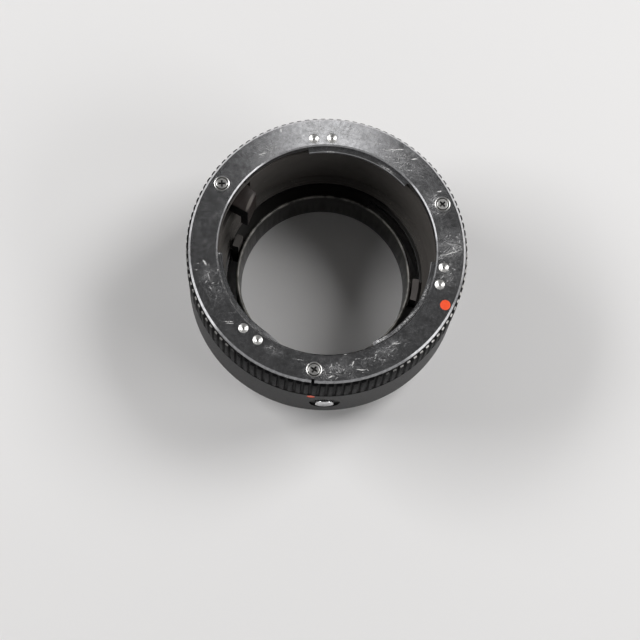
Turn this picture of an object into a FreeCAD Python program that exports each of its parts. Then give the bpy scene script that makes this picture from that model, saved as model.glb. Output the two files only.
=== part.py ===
import FreeCAD, Part
import Sketcher
import os
import re

# Driving sizes in millimetres and degrees. Angles run counter-clockwise from +X, seen from the lens side.
sizes = {
    # whole tube
    "extension": 25.0,
    "bayonet_reach": 5.5,
    "light_radius": 19.1,
    # rear baffle
    "baffle_wall": 1.2,
    "baffle_flare": 0.5,
    "baffle_rise": 3.5,
    "baffle_break": 0.3,
    "web_thick": 0.6,
    "web_play": 0.45,
    # coupling rings
    "ring_thick": 1.0,
    "ring_gap": 0.15,
    "ring_play": 0.05,
    "ring_setback": 0.4,
    "arm_thick": 0.6,
    "arm_play": 0.15,
    "arm_room": 0.2,
    "lever_play": 0.4,
    "lever_depth": 1.4,
    "lever_clear": 0.8,
    "slot_play": 0.35,
    "slot_margin": 2.0,
    "diaphragm_travel": 36.0,
    "diaphragm_lever_start": 155.5,
    "diaphragm_lever_span": 8.0,
    "diaphragm_lever_rise": 7.0,
    "diaphragm_finger_start": 137.0,
    "diaphragm_finger_span": 14.0,
    "diaphragm_finger_reach": 4.1,
    "diaphragm_finger_slant": 1.3,
    "diaphragm_finger_drop": 0.3,
    "diaphragm_finger_height": 5.3,
    "hook_depth": 1.9,
    "hook_gap": 3.5,
    "aperture_travel": 60.0,
    "aperture_lever_start": 344.0,
    "aperture_lever_span": 14.0,
    "aperture_lever_rise": 5.2,
    "aperture_finger_start": 262.0,
    "aperture_finger_span": 14.0,
    "aperture_finger_reach": 1.6,
    "aperture_finger_drop": 1.3,
    "aperture_finger_height": 4.4,
    "window_margin": 0.25,
    # rear bayonet
    "plate_thick": 1.5,
    "plate_inset": 0.6,
    "plate_edge": 0.1,
    "relief_play": 0.65,
    "relief_depth": 0.3,
    "tail_wall": 0.65,
    "bayonet_play": 0.15,
    "tail_lug_thick": 1.4,
    "tail_lug_gap": 0.55,
    "tail_lug_a_start": 43.0,
    "tail_lug_a_span": 55.0,
    "tail_lug_b_start": 184.0,
    "tail_lug_b_span": 39.0,
    "tail_lug_c_start": 297.0,
    "tail_lug_c_span": 32.0,
    "rear_screw_count": 4,
    "rear_screw_angle": 40.0,
    "rear_screw_head": 1.5,
    "rear_screw_length": 5.0,
    # inner sleeve and its lock ring
    "sleeve_setback": 0.1,
    "sleeve_wall": 0.8,
    "sleeve_flange_width": 0.6,
    "sleeve_flange_thick": 1.0,
    "sleeve_flange_drop": 3.9,
    "floor_thick": 0.8,
    "floor_lip": 0.35,
    "floor_step_width": 0.5,
    "floor_step_depth": 0.3,
    "lock_ring_thick": 0.5,
    "lock_ring_width": 1.4,
    "lock_ring_slot": 6.0,
    # lens flange
    "flange_depth": 2.2,
    "flange_lip": 1.0,
    "flange_lip_width": 1.2,
    "flange_bevel": 0.45,
    "spigot_wall": 0.85,
    "socket_break": 0.3,
    "lug_reach": 1.1,
    "lug_recess": 1.2,
    "lug_slope": 0.1,
    "lug_break": 0.15,
    "lug_top_start": 41.5,
    "lug_top_span": 58.5,
    "lug_left_start": 182.0,
    "lug_left_span": 64.5,
    "lug_left_taper": 11.5,
    "lug_right_start": 295.3,
    "lug_right_span": 58.7,
    "lead_length": 1.5,
    "lead_depth": 0.9,
    # fasteners of the flange
    "screw_wall": 0.25,
    "screw_angle_right": 22.6,
    "screw_angle_left": 147.6,
    "screw_angle_low": 264.0,
    "screw_head": 1.75,
    "screw_shank": 0.85,
    "screw_length": 4.2,
    "cross_half_length": 0.95,
    "cross_half_width": 0.22,
    "cross_depth": 0.55,
    "rivet_edge": 0.1,
    "rivet_head": 1.15,
    "rivet_tail": 0.6,
    "rivet_dish": 0.35,
    "rivet_pit": 0.3,
    "rivet_angle_top": 87.6,
    "rivet_angle_left": 225.2,
    "rivet_angle_right": 342.0,
    "rivet_pitch": 9.0,
    # leaf springs
    "leaf_thick": 0.3,
    "leaf_width": 1.5,
    "leaf_inset": 0.2,
    "leaf_root_margin": 3.0,
    "leaf_end_margin": 2.0,
    "leaf_lean": 1.8,
    # index dots
    "dot_edge": 0.25,
    "dot_angle": 333.8,
    "dot_radius": 1.15,
    "dot_depth": 0.4,
    "rear_dot_radius": 0.9,
    "rear_dot_drop": 1.5,
    # housings
    "ridge_height": 0.5,
    "ridge_bevel": 0.4,
    "ridge_count": 108,
    "groove_half_width": 0.46,
    "grip_setback": 0.9,
    "head_depth": 10.5,
    "joint_skirt": 1.3,
    "joint_length": 3.0,
    "shell_inset": 0.2,
    "shell_bevel": 0.4,
    "shell_foot_gap": 0.4,
    "seam_groove": 0.3,
    # lock notch, lock pin and release button
    "lock_angle": 264.0,
    "lock_inset": 0.4,
    "lock_pin_radius": 0.3,
    "lock_reach": 0.9,
    "lock_play": 0.1,
    "notch_play": 0.05,
    "button_angle": 270.0,
    "button_radius": 2.1,
    "button_stand": 0.8,
    "button_travel": 1.2,
    "dish_radius": 3.5,
    "stem_half_width": 1.0,
    "stem_half_height": 0.9,
    "ramp_run": 1.5,
    "ramp_gap": 0.06,
    "pocket_wall": 0.35,
    "bar_inset": 0.3,
    "bar_depth": 1.0,
    "bar_width": 1.3,
    "bar_height": 1.0,
    "foot_thick": 1.0,
    "foot_lift": 0.2,
    "foot_margin": 0.3,
    "spring_coil": 0.5,
    "spring_wire": 0.2,
    "spring_pitch": 0.9,
    "spring_room": 3.5,
    # fits
    "fit_gap": 0.02,
    "slip_gap": 0.05,
}

# Places that follow from the sizes: the radii from the light path outwards, then heights above the rear end.
places = {
    "baffle_mouth": "light_radius + baffle_flare",
    "baffle_outer": "light_radius + baffle_wall",
    "lever_inner": "baffle_outer + lever_play",
    "lever_outer": "lever_inner + lever_depth",
    "slot_radius": "lever_outer + slot_play",
    "floor_radius": "slot_radius + floor_lip",
    "ring_inner": "floor_radius + ring_setback",
    "tail_inner": "slot_radius + slip_gap",
    "tail_radius": "tail_inner + tail_wall",
    "lug_radius": "tail_radius + bayonet_play",
    "socket_radius": "lug_radius + lug_reach",
    "tail_lug_radius": "socket_radius - bayonet_play",
    "relief_radius": "tail_lug_radius + relief_play",
    "leaf_inner": "lug_radius + leaf_inset",
    "leaf_outer": "leaf_inner + leaf_width",
    "sleeve_radius": "socket_radius + sleeve_setback",
    "sleeve_outer": "sleeve_radius + sleeve_wall",
    "arm_inner": "sleeve_outer + arm_play",
    "arm_outer": "arm_inner + arm_thick",
    "ring_bore": "arm_outer + arm_room",
    "ring_outer": "ring_bore - ring_play",
    "web_radius": "ring_bore - web_play",
    "sleeve_flange": "ring_bore + sleeve_flange_width",
    "collar_bore": "sleeve_flange + slip_gap",
    "rivet_circle": "collar_bore - rivet_edge - rivet_tail",
    "screw_circle": "collar_bore + screw_wall + screw_shank",
    "spigot_radius": "screw_circle + screw_shank + spigot_wall",
    "flange_radius": "spigot_radius + flange_lip_width",
    "dot_circle": "flange_radius - flange_bevel - dot_edge - dot_radius",
    "lock_circle": "flange_radius - lock_inset",
    "plate_radius": "lock_circle - lock_pin_radius - plate_inset",
    "rear_screw_circle": "plate_radius - plate_edge - rear_screw_head",
    "grip_tip": "flange_radius + ridge_height",
    "shell_radius": "grip_tip - shell_inset",
    "joint_radius": "flange_radius - joint_skirt",
    "diaphragm_finger_radius": "socket_radius - diaphragm_finger_reach",
    "aperture_finger_radius": "socket_radius - aperture_finger_reach",
    "camera_seat": "bayonet_reach",
    "lens_seat": "camera_seat + extension",
    "flange_back": "lens_seat - flange_depth",
    "lip_back": "lens_seat - flange_lip",
    "lug_front": "lens_seat - lug_recess",
    "sleeve_top": "lens_seat - sleeve_flange_drop",
    "sleeve_ledge": "sleeve_top - sleeve_flange_thick",
    "seam": "lens_seat - head_depth",
    "grip_foot": "seam + grip_setback",
    "joint_top": "seam + joint_length",
    "plate_top": "camera_seat + plate_thick",
    "shell_foot": "camera_seat + shell_foot_gap",
    "web_top": "plate_top + web_thick",
    "baffle_top": "camera_seat + baffle_rise",
    "aperture_ring_foot": "web_top + ring_gap",
    "aperture_ring_top": "aperture_ring_foot + ring_thick",
    "diaphragm_ring_foot": "aperture_ring_top + ring_gap",
    "diaphragm_ring_top": "diaphragm_ring_foot + ring_thick",
    "floor_foot": "diaphragm_ring_top + ring_gap",
    "floor_top": "floor_foot + floor_thick",
    "tail_lug_top": "camera_seat - flange_depth - tail_lug_gap",
    "tail_lug_foot": "tail_lug_top - tail_lug_thick",
    "aperture_lever_top": "camera_seat + aperture_lever_rise",
    "diaphragm_lever_top": "camera_seat + diaphragm_lever_rise",
    "diaphragm_finger_top": "sleeve_ledge - diaphragm_finger_drop",
    "diaphragm_finger_foot": "diaphragm_finger_top - diaphragm_finger_height",
    "aperture_finger_top": "sleeve_ledge - aperture_finger_drop",
    "aperture_finger_foot": "aperture_finger_top - aperture_finger_height",
    "hook_foot": "diaphragm_lever_top + hook_gap",
    "rear_dot_height": "seam - rear_dot_drop",
    "foot_low": "plate_top + foot_lift",
    "foot_high": "foot_low + foot_thick",
    "foot_room": "foot_high + button_travel + lock_play",
    "button_axis": "foot_room + dish_radius",
    "button_face": "grip_tip",
    "pocket_inner": "ring_bore + pocket_wall",
    "stem_end": "pocket_inner + lock_play + button_travel",
    "stem_top": "button_axis + stem_half_height",
    "stem_foot": "button_axis - stem_half_height",
    "ramp_outer": "stem_end + ramp_run",
    "bar_inner": "stem_end + bar_inset",
    "bar_outer": "bar_inner + bar_depth",
    "bar_top": "stem_top + bar_height",
    "pocket_outer": "bar_outer + lock_play",
    "pocket_top": "bar_top + button_travel + 2 * lock_play",
    "cap_inner": "bar_outer + button_travel + 2 * lock_play",
    "upright_right": "-(stem_half_width + 2 * lock_play)",
    "upright_left": "upright_right - bar_width",
    "lock_x": "lock_circle * cos(lock_angle)",
    "lock_y": "lock_circle * sin(lock_angle)",
    "foot_left": "lock_x - lock_pin_radius - lock_play",
    "foot_outer": "-lock_y + foot_margin",
    "spring_x": "(upright_left + upright_right) / 2",
    "spring_y": "-(bar_inner + bar_outer) / 2",
    "spring_radius": "spring_coil + spring_wire / 2",
    "spring_top": "bar_top + spring_room",
}

doc = FreeCAD.newDocument("extension_tube")
sheet = doc.addObject("Spreadsheet::Sheet", "Sizes")
for row, (alias, number) in enumerate(sizes.items(), start=1):
    sheet.set(f"A{row}", alias)
    sheet.set(f"B{row}", str(number))
    sheet.setAlias(f"B{row}", alias)
doc.recompute()


def formula(text):
    def swap(match):
        word = match.group(0)
        if word in sizes:
            return f"Sizes.{word}"
        if word in places:
            return f"({formula(places[word])})"
        return word
    return re.sub(r"[a-z]+(?:_[a-z]+)*", swap, text)


def value(text):
    return float(sheet.evalExpression(formula(text)))


def bind(thing, prop, text):
    thing.setExpression(prop, formula(text))


def new_body(label):
    body = doc.addObject("PartDesign::Body", label)
    body.Label = label
    return body


def plane(body, role):
    return next(feature for feature in body.Origin.OriginFeatures if feature.Role == role)


def new_sketch(body, name, role, turn="0", away="0"):
    # An upright sketch is turned about the tube's axis; a level one is lifted; "away" is along its normal.
    sketch = body.newObject("Sketcher::SketchObject", name)
    sketch.AttachmentSupport = [(plane(body, role), "")]
    sketch.MapMode = "FlatFace"
    upright = FreeCAD.Vector(0, 1, 0)
    sketch.AttachmentOffset = FreeCAD.Placement(FreeCAD.Vector(), FreeCAD.Rotation(upright, 1))
    bind(sketch, "AttachmentOffset.Rotation.Angle", turn)
    bind(sketch, "AttachmentOffset.Base.x", f"({away}) * sin({turn})")
    bind(sketch, "AttachmentOffset.Base.z", f"({away}) * cos({turn})")
    return sketch


def draw_outline(sketch, corners):
    points = [FreeCAD.Vector(value(across), value(up), 0) for across, up in corners]
    following = points[1:] + points[:1]
    sketch.addGeometry([Part.LineSegment(a, b) for a, b in zip(points, following)], False)
    count = len(points)
    joins = [Sketcher.Constraint("Coincident", i, 2, (i + 1) % count, 1) for i in range(count)]
    sketch.addConstraint(joins)
    for i, (across, up) in enumerate(corners):
        for kind, text, number in (("DistanceX", across, points[i].x), ("DistanceY", up, points[i].y)):
            index = sketch.addConstraint(Sketcher.Constraint(kind, -1, 1, i, 1, number))
            bind(sketch, f"Constraints[{index}]", text)


def draw_circle(sketch, across, up, radius):
    centre = FreeCAD.Vector(value(across), value(up), 0)
    curve = sketch.addGeometry(Part.Circle(centre, FreeCAD.Vector(0, 0, 1), value(radius)), False)
    for kind, text, number in (("DistanceX", across, centre.x), ("DistanceY", up, centre.y)):
        index = sketch.addConstraint(Sketcher.Constraint(kind, -1, 1, curve, 3, number))
        bind(sketch, f"Constraints[{index}]", text)
    index = sketch.addConstraint(Sketcher.Constraint("Radius", curve, value(radius)))
    bind(sketch, f"Constraints[{index}]", radius)


def revolve(body, name, corners, kind="Revolution", start="0", span="360"):
    sketch = new_sketch(body, f"{name}_outline", "XZ_Plane", turn=start)
    draw_outline(sketch, corners)
    feature = body.newObject(f"PartDesign::{kind}", name)
    feature.Profile = sketch
    feature.ReferenceAxis = (sketch, ["V_Axis"])
    bind(feature, "Angle", span)
    return feature


def turned(label, corners):
    body = new_body(label)
    revolve(body, f"{label}_turning", corners)
    return body


def arc_corners(inner, outer, low, high):
    return [(inner, low), (outer, low), (outer, high), (inner, high)]


def add_arc(body, name, inner, outer, low, high, start, span):
    return revolve(body, name, arc_corners(inner, outer, low, high), "Revolution", start, span)


def cut_arc(body, name, inner, outer, low, high, start, span):
    return revolve(body, name, arc_corners(inner, outer, low, high), "Groove", start, span)


def raise_or_cut(body, name, sketch, kind, length):
    feature = body.newObject(f"PartDesign::{kind}", name)
    feature.Profile = sketch
    bind(feature, "Length", length)
    return feature


def level_block(body, name, kind, left, right, back, front, low, high):
    # A box between two heights: a Pad grows up from the low face, a Pocket cuts down from the high one.
    base = low if kind == "Pad" else high
    sketch = new_sketch(body, f"{name}_outline", "XY_Plane", away=base)
    draw_outline(sketch, [(left, back), (right, back), (right, front), (left, front)])
    return raise_or_cut(body, name, sketch, kind, f"({high}) - ({low})")


def level_rounds(body, name, kind, centres, radius, low, high):
    base = low if kind == "Pad" else high
    sketch = new_sketch(body, f"{name}_circles", "XY_Plane", away=base)
    for across, up in centres:
        draw_circle(sketch, across, up, radius)
    return raise_or_cut(body, name, sketch, kind, f"({high}) - ({low})")


def polar(circle, angle):
    return f"({circle}) * cos({angle})", f"({circle}) * sin({angle})"


def edges_at(feature, radius, height):
    # The round edges about the tube's axis at one radius and height.
    tolerance = value("fit_gap") / 10
    names = []
    for index, edge in enumerate(feature.Shape.Edges, start=1):
        curve = edge.Curve
        if not isinstance(curve, Part.Circle):
            continue
        place = FreeCAD.Vector(0, 0, value(height))
        if curve.Center.isEqual(place, tolerance) and abs(curve.Radius - value(radius)) < tolerance:
            names.append(f"Edge{index}")
    return names


def dress(body, name, kind, edges, prop, size):
    doc.recompute()
    base = body.Tip
    feature = body.newObject(f"PartDesign::{kind}", name)
    feature.Base = (base, [edge for radius, height in edges for edge in edges_at(base, radius, height)])
    bind(feature, prop, size)
    return feature


def stand_at(body, x, y, z, axis=(0, 0, 1), angle="0"):
    body.Placement = FreeCAD.Placement(FreeCAD.Vector(), FreeCAD.Rotation(FreeCAD.Vector(*axis), 1))
    bind(body, "Placement.Rotation.Angle", angle)
    for name, text in (("x", x), ("y", y), ("z", z)):
        bind(body, f"Placement.Base.{name}", text)


def group(label, members):
    compound = doc.addObject("Part::Compound", label)
    compound.Label = label
    compound.Links = members
    return compound


# Lens flange: bright ring with three unequal lugs, countersunk screws, rivet pairs, a lock notch and a dot.
front_screws = ["screw_angle_right", "screw_angle_left", "screw_angle_low"]
leaf_names = ["top", "left", "right"]
rivets = [f"rivet_angle_{name}{shift}" for name in leaf_names for shift in ("", " + rivet_pitch")]

lens_flange = turned("lens_flange", [
    ("socket_radius", "flange_back"),
    ("spigot_radius", "flange_back"),
    ("spigot_radius", "lip_back"),
    ("flange_radius", "lip_back"),
    ("flange_radius", "lens_seat - flange_bevel"),
    ("flange_radius - flange_bevel", "lens_seat"),
    ("socket_radius + socket_break", "lens_seat"),
    ("socket_radius", "lens_seat - socket_break"),
])
for name in leaf_names:
    revolve(lens_flange, f"lug_{name}", [
        ("lug_radius", "flange_back"),
        ("(socket_radius + spigot_radius) / 2", "flange_back"),
        ("(socket_radius + spigot_radius) / 2", "lug_front"),
        ("socket_radius", "lug_front"),
        ("lug_radius + lug_break", "lug_front - lug_slope"),
        ("lug_radius", "lug_front - lug_slope - lug_break"),
    ], "Revolution", f"lug_{name}_start", f"lug_{name}_span")
# The left lug runs out on a straight slope into the bore; the right one starts with a lead-in ramp.
taper = new_sketch(lens_flange, "lug_taper_outline", "XY_Plane", away="lug_front")
draw_outline(taper, [
    polar("lug_radius", "lug_left_start + lug_left_span - lug_left_taper"),
    polar("lug_radius - lug_break", "lug_left_start + lug_left_span + lug_break"),
    polar("socket_radius", "lug_left_start + lug_left_span"),
])
raise_or_cut(lens_flange, "lug_taper", taper, "Pocket", "lug_front - flange_back")
lead = new_sketch(lens_flange, "lead_in_outline", "XZ_Plane", turn="lug_right_start + 90",
                  away="lug_radius - slip_gap")
draw_outline(lead, [
    ("-lug_break", "lug_front - lead_depth"),
    ("0", "lug_front - lead_depth"),
    ("lead_length", "lug_front"),
    ("-lug_break", "lug_front"),
])
lead_cut = raise_or_cut(lens_flange, "lead_in", lead, "Pocket", "lug_reach + 2 * slip_gap")
lead_cut.Reversed = True
level_rounds(lens_flange, "rivet_holes", "Pocket", [polar("rivet_circle", angle) for angle in rivets],
             "rivet_head + fit_gap", "flange_back", "lens_seat")
level_rounds(lens_flange, "dot_recess", "Pocket", [polar("dot_circle", "dot_angle")],
             "dot_radius + fit_gap", "lens_seat - dot_depth", "lens_seat")
notch = new_sketch(lens_flange, "notch_outline", "XZ_Plane", turn="lock_angle + 90",
                   away="lock_circle - lock_pin_radius - notch_play")
draw_outline(notch, [
    ("-(lock_pin_radius + notch_play)", "lip_back"),
    ("lock_pin_radius + notch_play", "lip_back"),
    ("lock_pin_radius + notch_play", "lens_seat"),
    ("-(lock_pin_radius + notch_play)", "lens_seat"),
])
notch_cut = raise_or_cut(lens_flange, "lock_notch", notch, "Pocket", "flange_radius")
notch_cut.Reversed = True
screw_seats = new_sketch(lens_flange, "screw_seats", "XY_Plane", away="lens_seat")
for angle in front_screws:
    draw_circle(screw_seats, *polar("screw_circle", angle), "screw_shank + fit_gap")
doc.recompute()
screw_holes = lens_flange.newObject("PartDesign::Hole", "screw_holes")
screw_holes.Profile = screw_seats
doc.recompute()
screw_holes.DepthType = "ThroughAll"
screw_holes.HoleCutType = "Countersink"
screw_holes.HoleCutCustomValues = True
screw_holes.HoleCutCountersinkAngle = 90
bind(screw_holes, "Diameter", "2 * (screw_shank + fit_gap)")
bind(screw_holes, "HoleCutDiameter", "2 * (screw_head + fit_gap)")


def cross_screw(name, head, length):
    # A countersunk screw with its head's flat face at z = 0, pointing down.
    body = new_body(name)
    revolve(body, f"{name}_turning", [
        ("0", f"-({length})"),
        ("screw_shank", f"-({length})"),
        ("screw_shank", f"screw_shank - {head}"),
        (head, "0"),
        ("0", "0"),
    ])
    arms = (("cross_half_length", "cross_half_width"), ("cross_half_width", "cross_half_length"))
    for index, (across, up) in enumerate(arms):
        level_block(body, f"{name}_cross_{index}", "Pocket", f"-{across}", across, f"-{up}", up,
                    "-cross_depth", "0")
    return body


def dished_rivet(name):
    # A rivet with its dished end at z = 0, and a thin tail through the leaf spring.
    body = new_body(name)
    revolve(body, f"{name}_turning", [
        ("0", "-flange_depth - 2 * leaf_thick"),
        ("rivet_tail", "-flange_depth - 2 * leaf_thick"),
        ("rivet_tail", "-flange_depth"),
        ("rivet_head", "-flange_depth"),
        ("rivet_head", "0"),
        ("rivet_pit", "-rivet_dish"),
        ("0", "-rivet_dish"),
    ])
    return body


screws = []
for index, angle in enumerate(front_screws):
    screw = cross_screw(f"flange_screw_{index}", "screw_head", "screw_length")
    stand_at(screw, *polar("screw_circle", angle), "lens_seat", angle=angle)
    screws.append(screw)
flange_screws = group("flange_screws", screws)

members = []
for index, angle in enumerate(rivets):
    rivet = dished_rivet(f"spring_rivet_{index}")
    stand_at(rivet, *polar("rivet_circle", angle), "lens_seat")
    members.append(rivet)
spring_rivets = group("spring_rivets", members)

index_dot = new_body("index_dot")
level_rounds(index_dot, "dot_fill", "Pad", [polar("dot_circle", "dot_angle")], "dot_radius",
             "lens_seat - dot_depth", "lens_seat - fit_gap")


def leaf_spring(name):
    # The root tab lies flat under the flange from angle 0 on; the leaf runs the other way and leans down.
    body = new_body(f"leaf_spring_{name}")
    root = f"rivet_angle_{name} - leaf_root_margin"
    add_arc(body, f"leaf_root_{name}", "leaf_inner", "sleeve_flange", "-leaf_thick", "0", "0",
            "rivet_pitch + 2 * leaf_root_margin")
    sketch = new_sketch(body, f"leaf_{name}_outline", "XZ_Plane")
    across = FreeCAD.Vector(1, 0, 0)
    sketch.AttachmentOffset = FreeCAD.Placement(FreeCAD.Vector(), FreeCAD.Rotation(across, 1))
    bind(sketch, "AttachmentOffset.Rotation.Angle", "leaf_lean")
    draw_outline(sketch, arc_corners("leaf_inner", "leaf_outer", "-leaf_thick", "0"))
    leaf = body.newObject("PartDesign::Revolution", f"leaf_{name}")
    leaf.Profile = sketch
    leaf.ReferenceAxis = (sketch, ["V_Axis"])
    leaf.Reversed = True
    bind(leaf, "Angle", f"{root} - lug_{name}_start - leaf_end_margin")
    holes = [polar("rivet_circle", f"leaf_root_margin{shift}") for shift in ("", " + rivet_pitch")]
    level_rounds(body, f"leaf_holes_{name}", "Pocket", holes, "rivet_tail + fit_gap", "-2 * leaf_thick",
                 "leaf_thick")
    stand_at(body, "0", "0", "flange_back", angle=root)
    return body


leaf_springs = [leaf_spring(name) for name in leaf_names]

# Front housing: carries the flange in a recess and has the coin-edge grip outside.
front_housing = turned("front_housing", [
    ("joint_radius + fit_gap", "seam"),
    ("flange_radius", "seam"),
    ("flange_radius", "grip_foot"),
    ("grip_tip", "grip_foot"),
    ("grip_tip", "lip_back - ridge_bevel"),
    ("grip_tip - ridge_bevel", "lip_back"),
    ("spigot_radius + slip_gap", "lip_back"),
    ("spigot_radius + slip_gap", "flange_back"),
    ("collar_bore", "flange_back"),
    ("collar_bore", "sleeve_ledge"),
    ("ring_bore", "sleeve_ledge"),
    ("ring_bore", "joint_top"),
    ("joint_radius + fit_gap", "joint_top"),
])
taps = [polar("screw_circle", angle) for angle in front_screws]
level_rounds(front_housing, "screw_taps", "Pocket", taps, "screw_shank + fit_gap",
             "lens_seat - screw_length - slip_gap", "flange_back")
groove_outline = new_sketch(front_housing, "grip_groove_outline", "XY_Plane", away="lip_back")
draw_outline(groove_outline, [
    ("flange_radius", "-groove_half_width / 2"),
    ("grip_tip", "-groove_half_width"),
    ("grip_tip + ridge_bevel", "-groove_half_width"),
    ("grip_tip + ridge_bevel", "groove_half_width"),
    ("grip_tip", "groove_half_width"),
    ("flange_radius", "groove_half_width / 2"),
])
grip_groove = raise_or_cut(front_housing, "grip_groove", groove_outline, "Pocket", "lip_back - grip_foot")
grip = front_housing.newObject("PartDesign::PolarPattern", "grip")
grip.Originals = [grip_groove]
grip.Axis = (groove_outline, ["N_Axis"])
bind(grip, "Occurrences", "ridge_count")
front_housing.Tip = grip

# Rear housing: smooth shell that screws into the front one, with the lock's pocket and the button's dish.
rear_housing = turned("rear_housing", [
    ("ring_bore", "plate_top"),
    ("plate_radius + slip_gap", "plate_top"),
    ("plate_radius + slip_gap", "shell_foot"),
    ("shell_radius - shell_bevel", "shell_foot"),
    ("shell_radius", "shell_foot + shell_bevel"),
    ("shell_radius", "seam - 2 * seam_groove"),
    ("shell_radius - seam_groove", "seam - seam_groove"),
    ("shell_radius - seam_groove", "seam"),
    ("joint_radius", "seam"),
    ("joint_radius", "joint_top"),
    ("ring_bore", "joint_top"),
])
rear_screws = []
for index in range(round(value("rear_screw_count"))):
    rear_screws.append(f"rear_screw_angle + {index} * 360 / rear_screw_count")
taps = [polar("rear_screw_circle", angle) for angle in rear_screws]
level_rounds(rear_housing, "rear_taps", "Pocket", taps, "screw_shank + fit_gap", "plate_top",
             "camera_seat + rear_screw_length + slip_gap")
level_block(rear_housing, "lock_pocket", "Pocket", "upright_left - lock_play",
            "stem_half_width + 2 * lock_play", "-pocket_outer", "-pocket_inner", "plate_top", "pocket_top")
level_block(rear_housing, "foot_pocket", "Pocket", "foot_left - lock_play", "upright_right",
            "-foot_outer - lock_play", "-pocket_inner", "plate_top", "foot_room")
level_rounds(rear_housing, "lock_pin_bore", "Pocket", [("lock_x", "lock_y")], "lock_pin_radius + lock_play",
             "shell_foot", "plate_top")
level_rounds(rear_housing, "spring_bore", "Pocket", [("spring_x", "spring_y")], "spring_radius + lock_play",
             "pocket_top", "spring_top")
for name, radius, depth in (("button_dish", "dish_radius", "button_face - button_stand"),
                            ("button_bore", "button_radius + lock_play", "pocket_outer")):
    sketch = new_sketch(rear_housing, f"{name}_circle", "XZ_Plane", turn="button_angle + 90",
                        away="shell_radius")
    draw_circle(sketch, "0", "button_axis", radius)
    raise_or_cut(rear_housing, name, sketch, "Pocket", f"shell_radius - ({depth})")
dot_seat = new_sketch(rear_housing, "rear_dot_circle", "XZ_Plane", turn="lock_angle + 90",
                      away="shell_radius")
draw_circle(dot_seat, "0", "rear_dot_height", "rear_dot_radius + fit_gap")
raise_or_cut(rear_housing, "rear_dot_recess", dot_seat, "Pocket", "dot_depth")

rear_index_dot = new_body("rear_index_dot")
dot_face = new_sketch(rear_index_dot, "rear_dot_fill_circle", "XZ_Plane", turn="lock_angle + 90",
                      away="shell_radius - dot_depth")
draw_circle(dot_face, "0", "rear_dot_height", "rear_dot_radius")
raise_or_cut(rear_index_dot, "rear_dot_fill", dot_face, "Pad", "dot_depth - slip_gap")

# Inner sleeve: the dark wall inside, with a flange at its top, a stepped floor and a window for each finger.
inner_sleeve = turned("inner_sleeve", [
    ("floor_radius", "floor_foot"),
    ("sleeve_outer", "floor_foot"),
    ("sleeve_outer", "sleeve_ledge"),
    ("sleeve_flange", "sleeve_ledge"),
    ("sleeve_flange", "sleeve_top"),
    ("sleeve_radius", "sleeve_top"),
    ("sleeve_radius", "floor_top"),
    ("floor_radius + floor_step_width", "floor_top"),
    ("floor_radius + floor_step_width", "floor_top - floor_step_depth"),
    ("floor_radius", "floor_top - floor_step_depth"),
])
for name in ("diaphragm", "aperture"):
    cut_arc(inner_sleeve, f"{name}_window", "lug_radius", "arm_inner",
            f"{name}_finger_foot - window_margin", f"{name}_finger_top + window_margin",
            f"{name}_finger_start - slot_margin", f"{name}_finger_span + {name}_travel + 2 * slot_margin")

sleeve_lock_ring = turned("sleeve_lock_ring", arc_corners(
    "sleeve_flange - lock_ring_width", "sleeve_flange + fit_gap", "sleeve_top",
    "sleeve_top + lock_ring_thick"))
for index, middle in enumerate(("button_angle", "button_angle - 180")):
    cut_arc(sleeve_lock_ring, f"spanner_slot_{index}", "lug_radius", "sleeve_flange - lock_ring_width / 2",
            "sleeve_top", "sleeve_top + lock_ring_thick", f"{middle} - lock_ring_slot / 2", "lock_ring_slot")

# Rear baffle: short tube with a broken rim, on a web with one arc slot for each lever.
rear_baffle = turned("rear_baffle", [
    ("light_radius", "0"),
    ("baffle_outer", "0"),
    ("baffle_outer", "plate_top"),
    ("web_radius", "plate_top"),
    ("web_radius", "web_top"),
    ("baffle_outer", "web_top"),
    ("baffle_outer", "baffle_top"),
    ("baffle_mouth", "baffle_top"),
])
for name in ("diaphragm", "aperture"):
    cut_arc(rear_baffle, f"{name}_slot", "baffle_outer", "slot_radius", "plate_top", "web_top",
            f"{name}_lever_start - slot_margin", f"{name}_lever_span + {name}_travel + 2 * slot_margin")
dress(rear_baffle, "rim_break", "Chamfer", [("baffle_outer", "baffle_top"), ("baffle_mouth", "baffle_top")],
      "Size", "baffle_break")

# Rear bayonet: bright male mount whose lugs pass through the gaps of a flange like the front one.
rear_bayonet = turned("rear_bayonet", [
    ("tail_inner", "0"),
    ("tail_radius", "0"),
    ("tail_radius", "camera_seat + relief_depth"),
    ("relief_radius", "camera_seat + relief_depth"),
    ("relief_radius", "camera_seat"),
    ("plate_radius", "camera_seat"),
    ("plate_radius", "plate_top"),
    ("tail_inner", "plate_top"),
])
for name in ("a", "b", "c"):
    add_arc(rear_bayonet, f"tail_lug_{name}", "(tail_inner + tail_radius) / 2", "tail_lug_radius",
            "tail_lug_foot", "tail_lug_top", f"tail_lug_{name}_start", f"tail_lug_{name}_span")
for index, angle in enumerate(rear_screws):
    cone = new_sketch(rear_bayonet, f"rear_seat_{index}_outline", "XZ_Plane", turn=angle)
    middle = "rear_screw_circle"
    draw_outline(cone, [
        (middle, "camera_seat"),
        (f"{middle} + rear_screw_head + fit_gap", "camera_seat"),
        (f"{middle} + screw_shank + fit_gap", "camera_seat + rear_screw_head - screw_shank"),
        (f"{middle} + screw_shank + fit_gap", "plate_top"),
        (middle, "plate_top"),
    ])
    seat = rear_bayonet.newObject("PartDesign::Groove", f"rear_seat_{index}")
    seat.Profile = cone
    seat.ReferenceAxis = (cone, ["Edge5"])
    seat.Angle = 360

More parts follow.
